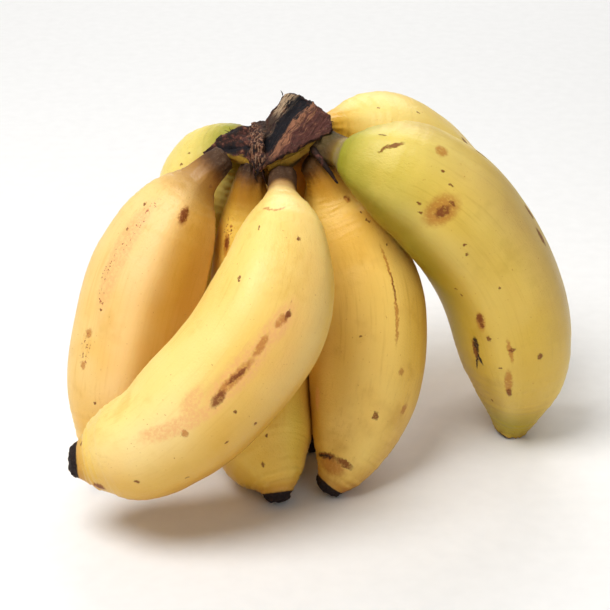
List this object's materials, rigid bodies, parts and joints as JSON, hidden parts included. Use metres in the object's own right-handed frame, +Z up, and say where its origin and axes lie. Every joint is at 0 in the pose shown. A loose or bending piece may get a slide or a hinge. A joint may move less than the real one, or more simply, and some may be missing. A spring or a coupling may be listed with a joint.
{
  "type": "bunch of bananas",
  "caption": "Hand of short, plump ripe bananas resting crown up on its finger ends, with freckled yellow and green-tinged peel, dark dried tips and a torn woody crown.",
  "frame": {"origin": "centre of the bounding box on the surface that the finger ends rest on", "axes": "+X to the right along the crown's length, +Y from the front finger to the back ones, +Z up from the finger ends to the crown"},
  "size_m": [0.168, 0.1394, 0.1188],
  "materials": {
    "peel_front": "satin waxy peel with brown freckles and a black dried tip",
    "peel_mid_left": "satin waxy peel with brown freckles and a black dried tip",
    "peel_mid_right": "satin waxy peel with brown freckles and a black dried tip",
    "peel_left": "satin waxy peel with brown freckles and a black dried tip",
    "peel_back_left": "satin waxy peel with brown freckles and a black dried tip",
    "peel_back": "satin waxy peel with brown freckles and a black dried tip",
    "peel_back_right": "satin waxy peel with brown freckles and a black dried tip",
    "peel_right": "satin waxy peel with brown freckles and a black dried tip",
    "crown_fibre": "dry torn fibre, rough"
  },
  "bodies": {
    "root": {"finger_front": "peel_front", "finger_mid_left": "peel_mid_left", "finger_mid_right": "peel_mid_right", "finger_left": "peel_left", "finger_back_left": "peel_back_left", "finger_back": "peel_back", "finger_back_right": "peel_back_right", "finger_right": "peel_right", "crown": "crown_fibre"}
  },
  "joints": []
}
